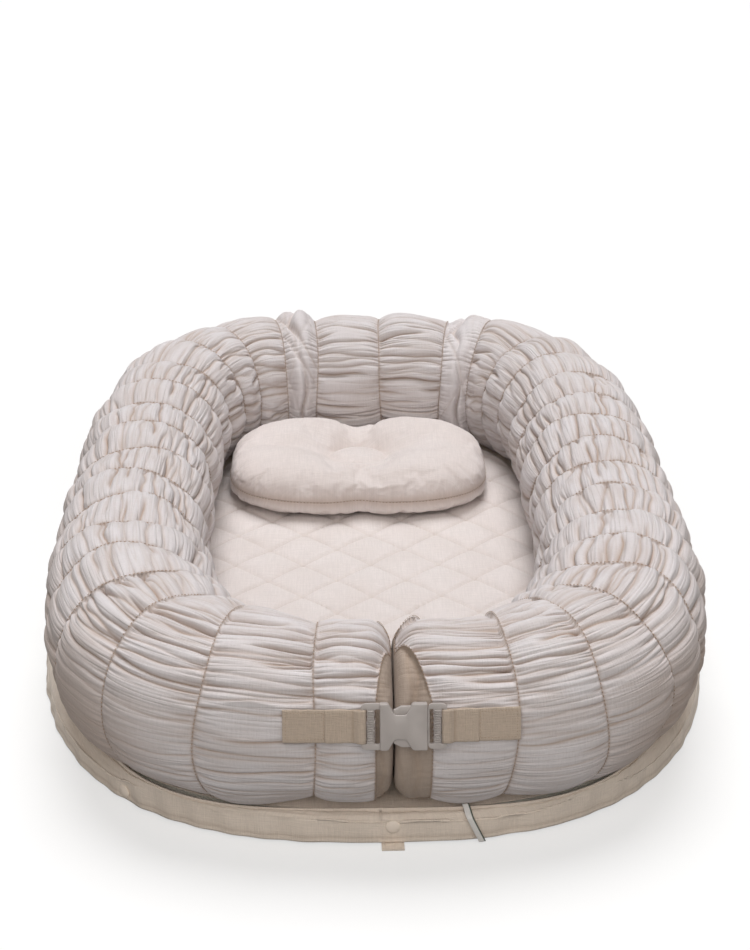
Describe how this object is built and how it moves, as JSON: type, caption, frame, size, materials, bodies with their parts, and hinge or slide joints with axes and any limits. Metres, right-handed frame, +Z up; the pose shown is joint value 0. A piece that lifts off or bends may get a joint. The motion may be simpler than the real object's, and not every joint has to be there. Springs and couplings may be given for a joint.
{
  "type": "infant lounger",
  "caption": "Oval baby nest: a ruched, padded bolster on a thin foam base, with a quilted mat, a small head pillow and a side-release buckle that joins the bolster's ends at the foot.",
  "frame": {"origin": "middle of the flat underside, on the surface that the lounger lies on", "axes": "+X to the right as seen from the foot end, +Y from the foot end with the buckle towards the head end, +Z up"},
  "size_m": [0.614, 0.8683, 0.1808],
  "materials": {
    "gauze": "ruched cream cotton gauze",
    "linen": "plain woven linen",
    "base_cloth": "plain linen of the underside",
    "mat_cloth": "slub weave, quilted in diamonds",
    "pillow_cloth": "soft cotton weave",
    "foam": "open-cell foam board",
    "wadding": "polyester wadding",
    "buckle_plastic": "moulded, satin",
    "stud_plastic": "moulded, satin",
    "tape_cloth": "woven tape with coloured edges"
  },
  "bodies": {
    "root": {"base_bottom_panel": "base_cloth", "base_foam": "foam", "base_top_panel": "linen", "skirt": "linen", "stud_cap_front": "stud_plastic", "stud_ring_front": "stud_plastic", "stud_cap_left": "stud_plastic", "stud_ring_left": "stud_plastic", "cover_foot_right": "gauze", "cover_side_right": "gauze", "cover_joint_right": "gauze", "cover_head": "gauze", "cover_joint_left": "gauze", "cover_side_left": "gauze", "cover_foot_left": "gauze", "end_cap_right": "gauze", "end_cap_left": "gauze", "bolster_fill": "wadding", "quilted_mat": "mat_cloth", "buckle_socket": "buckle_plastic", "strap_left": "linen", "strap_right_loop": "linen", "strap_right_patch": "linen", "woven_tape": "tape_cloth"},
    "pillow": {"pillow_cover_top": "pillow_cloth", "pillow_cover_bottom": "pillow_cloth", "pillow_fill": "wadding"},
    "plug": {"buckle_plug": "buckle_plastic"},
    "prong_upper": {"plug_prong_upper": "buckle_plastic"},
    "prong_lower": {"plug_prong_lower": "buckle_plastic"},
    "tab_front": {"stud_tab_front": "linen", "stud_front": "stud_plastic"},
    "tab_left": {"stud_tab_left": "linen", "stud_left": "stud_plastic"}
  },
  "joints": [
    {"name": "pillow_lift", "type": "slide", "parent": "root", "child": "pillow", "axis": [0, 0, 1], "range_m": [0, 0.2]},
    {"name": "plug_pull", "type": "slide", "parent": "root", "child": "plug", "axis": [1, 0, 0], "range_m": [0, 0.027], "deforming": ["strap_right_loop"]},
    {"name": "prong_upper_press", "type": "hinge", "parent": "plug", "child": "prong_upper", "pos_m": [0.0339, -0.42588, 0.13425], "axis": [0, -0.9469, 0.3217], "range_deg": [0, 8], "stiffness_Nm_per_rad": 0.02},
    {"name": "prong_lower_press", "type": "hinge", "parent": "plug", "child": "prong_lower", "pos_m": [0.0339, -0.43231, 0.11531], "axis": [0, 0.9469, -0.3217], "range_deg": [0, 8], "stiffness_Nm_per_rad": 0.02},
    {"name": "stud_front_release", "type": "slide", "parent": "root", "child": "tab_front", "axis": [-0.0101, 0.9999, 0], "range_m": [0, 0.0018]},
    {"name": "stud_left_release", "type": "slide", "parent": "root", "child": "tab_left", "axis": [0.6872, 0.7265, 0], "range_m": [0, 0.0018]}
  ]
}
